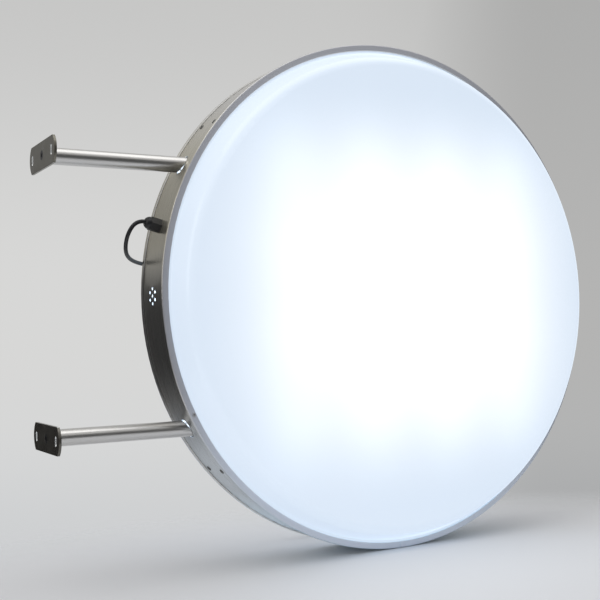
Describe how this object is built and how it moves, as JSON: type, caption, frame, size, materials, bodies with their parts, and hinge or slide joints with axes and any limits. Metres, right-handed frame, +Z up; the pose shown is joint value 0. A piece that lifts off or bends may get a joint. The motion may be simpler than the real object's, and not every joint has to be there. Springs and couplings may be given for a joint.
{
  "type": "projecting light box sign",
  "caption": "Round double-sided light box sign with domed opal faces on tube arms that end in swivelling slotted wall plates, with a mains lead and plug.",
  "frame": {"origin": "on the wall, midway between the two wall plates", "axes": "+X from the wall to the sign, +Y from the front face to the rear face, +Z up"},
  "size_m": [0.775, 0.2301, 0.65],
  "materials": {
    "band": "brushed stainless strip, glossy",
    "rim": "satin, rolled",
    "opal": "opal acrylic, lit from inside",
    "seal": "soft black foam or rubber",
    "screw": "zinc plated",
    "plate_screw": "black oxide",
    "inner_steel": "galvanised",
    "rivet": "satin",
    "tube": "polished stainless tube",
    "upper_plate": "dark grey, satin",
    "lower_plate": "near black, satin",
    "gland": "black nylon",
    "lead": "black PVC sheath, satin",
    "thin_lead": "white PVC",
    "plug": "black moulded PVC",
    "pin": "nickelled brass",
    "panel": "white, reflective",
    "strip": "white solder mask on aluminium",
    "chip": "phosphor",
    "white_plastic": "white nylon",
    "driver": "satin extrusion",
    "driver_cap": "moulded",
    "board": "circuit board",
    "lens": "clear moulded lens"
  },
  "bodies": {
    "sign": {"side_band": "band", "front_seat_ring": "inner_steel", "front_led_lenses": "lens", "front_led_chips": "chip", "front_bus_lead": "thin_lead", "front_led_strip_1": "strip", "front_led_strip_2": "strip", "front_led_strip_3": "strip", "front_led_strip_4": "strip", "rear_rim": "rim", "rear_face": "opal", "rear_gasket": "seal", "rear_rim_screws": "screw", "rear_seat_ring": "inner_steel", "rear_led_lenses": "lens", "rear_led_chips": "chip", "rear_bus_lead": "thin_lead", "rear_led_strip_1": "strip", "rear_led_strip_2": "strip", "rear_led_strip_3": "strip", "rear_led_strip_4": "strip", "mounting_rail": "inner_steel", "rail_rivets": "rivet", "rail_grommet": "seal", "carrier_panel": "panel", "rail_brackets": "inner_steel", "edge_brackets": "inner_steel", "edge_rivets": "rivet", "panel_screws": "screw", "strip_push_rivets": "white_plastic", "strip_connectors": "white_plastic", "driver_case": "driver", "driver_caps": "driver_cap", "driver_board": "board", "driver_screws": "screw", "supply_lead": "lead", "gland_body": "gland", "gland_dome_nut": "gland", "gland_seal": "seal", "gland_lock_nut": "gland", "upper_arm": "tube", "lower_arm": "tube", "upper_arm_inserts": "inner_steel", "lower_arm_inserts": "inner_steel", "arm_bolts": "screw", "arm_washers": "screw", "plate_screws": "plate_screw", "mains_lead": "lead", "lead_coil": "lead", "lead_tail": "lead", "plug_body": "plug", "plug_pins": "pin"},
    "front_cover": {"front_rim": "rim", "front_face": "opal", "front_gasket": "seal", "front_rim_screws": "screw"},
    "upper_plate": {"upper_wall_plate": "upper_plate"},
    "lower_plate": {"lower_wall_plate": "lower_plate"}
  },
  "joints": [
    {"name": "front_cover_lift", "type": "slide", "parent": "sign", "child": "front_cover", "axis": [0, -1, 0], "range_m": [0, 0.08]},
    {"name": "upper_plate_swivel", "type": "hinge", "parent": "sign", "child": "upper_plate", "pos_m": [0, 0, 0.156], "axis": [1, 0, 0], "continuous": true},
    {"name": "lower_plate_swivel", "type": "hinge", "parent": "sign", "child": "lower_plate", "pos_m": [0, 0, -0.156], "axis": [1, 0, 0], "continuous": true}
  ]
}
